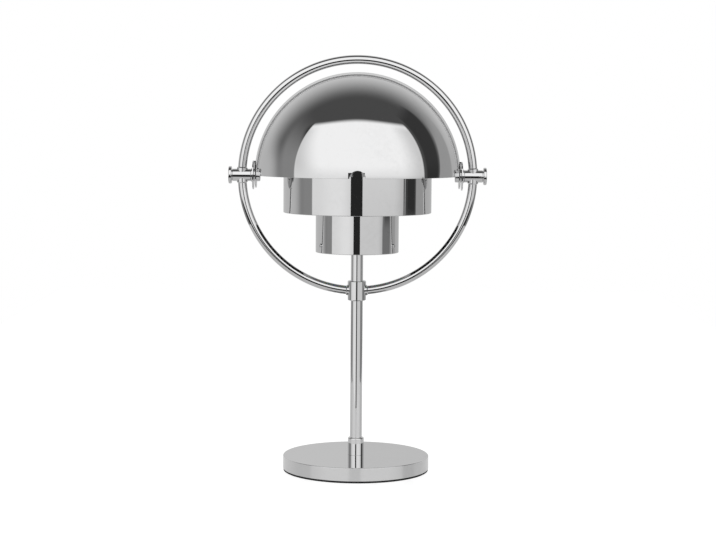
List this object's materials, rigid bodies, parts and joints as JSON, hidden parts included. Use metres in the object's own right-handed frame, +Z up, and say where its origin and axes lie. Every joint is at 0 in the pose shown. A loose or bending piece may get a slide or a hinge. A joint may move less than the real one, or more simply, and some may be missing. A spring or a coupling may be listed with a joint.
{
  "type": "portable table lamp",
  "caption": "Portable table lamp: round base, slim stem and tube ring holding two quarter-sphere shades that swing round concentric light drums.",
  "frame": {"origin": "middle of the foot, on the table", "axes": "+Z up the stem, X along the shades' pivots, -Y towards the front"},
  "size_m": [0.2224, 0.177, 0.36],
  "materials": {
    "polished_chrome": "mirror-polished chrome plate",
    "black_steel": "black powder coat",
    "raw_steel": "bare rolled steel",
    "zinc_screws": "zinc-plated fasteners",
    "socket_steel": "satin stamped steel",
    "black_rubber": "matte black rubber",
    "black_foam": "closed-cell foam",
    "battery_wrap": "shrink-wrapped cell",
    "green_board": "solder-masked board",
    "white_board": "white-coated metal-core board",
    "light_chips": "phosphor under clear resin",
    "black_plastic": "moulded black plastic",
    "white_plastic": "moulded white plastic",
    "hub_aluminium": "turned aluminium",
    "opal_acrylic": "opal acrylic",
    "lead_sleeve": "silicone-sleeved lead"
  },
  "bodies": {
    "stand": {"ballast_plate": "raw_steel", "base_cover": "black_steel", "base_shell": "polished_chrome", "battery_lead": "lead_sleeve", "battery_pack": "battery_wrap", "battery_pad": "black_foam", "board_lead": "lead_sleeve", "board_screws": "zinc_screws", "button_switch": "black_plastic", "charge_socket": "socket_steel", "collar_screw": "zinc_screws", "control_board": "green_board", "cover_screws": "zinc_screws", "deck_screws": "polished_chrome", "drum_deck": "polished_chrome", "drum_nuts": "zinc_screws", "drum_screws": "zinc_screws", "ear_spacer_left": "polished_chrome", "ear_spacer_right": "polished_chrome", "flange_washer_left": "polished_chrome", "flange_washer_right": "polished_chrome", "foot_ring": "black_rubber", "hub_nut": "zinc_screws", "hub_screw": "zinc_screws", "lamp_lead": "lead_sleeve", "lead_terminals": "white_plastic", "light_hub": "hub_aluminium", "light_plate_screws": "zinc_screws", "lower_diffuser": "opal_acrylic", "lower_diffuser_ring": "polished_chrome", "lower_diffuser_screws": "polished_chrome", "lower_drum": "polished_chrome", "lower_led_board": "white_board", "lower_led_chips": "light_chips", "outer_drum": "polished_chrome", "pivot_nut_left": "polished_chrome", "pivot_nut_right": "polished_chrome", "pivot_pin_left": "polished_chrome", "pivot_pin_right": "polished_chrome", "pivot_sleeve_left": "polished_chrome", "pivot_sleeve_right": "polished_chrome", "ring_collar": "polished_chrome", "ring_lower_left": "polished_chrome", "ring_lower_right": "polished_chrome", "ring_upper": "polished_chrome", "stem_ferrule": "polished_chrome", "stem_nut": "zinc_screws", "stem_tube": "polished_chrome", "stem_washer": "zinc_screws", "upper_diffuser": "opal_acrylic", "upper_diffuser_ring": "polished_chrome", "upper_diffuser_screws": "polished_chrome", "upper_drum": "polished_chrome", "upper_led_board": "white_board", "upper_led_chips": "light_chips", "upper_light_plate": "hub_aluminium"},
    "front_shade": {"front_shade": "polished_chrome"},
    "back_shade": {"back_shade": "polished_chrome"},
    "power_button": {"power_button": "polished_chrome"}
  },
  "joints": [
    {"name": "front_shade_swing", "type": "hinge", "parent": "stand", "child": "front_shade", "pos_m": [0, 0, 0.2566], "axis": [1, 0, 0], "range_deg": [0, 90]},
    {"name": "back_shade_swing", "type": "hinge", "parent": "stand", "child": "back_shade", "pos_m": [0, 0, 0.2566], "axis": [-1, 0, 0], "range_deg": [0, 90]},
    {"name": "power_button_press", "type": "slide", "parent": "stand", "child": "power_button", "axis": [0, -1, 0], "range_m": [0, 0.0006], "stiffness_N_per_m": 1500, "springref_m": -0.0004}
  ]
}
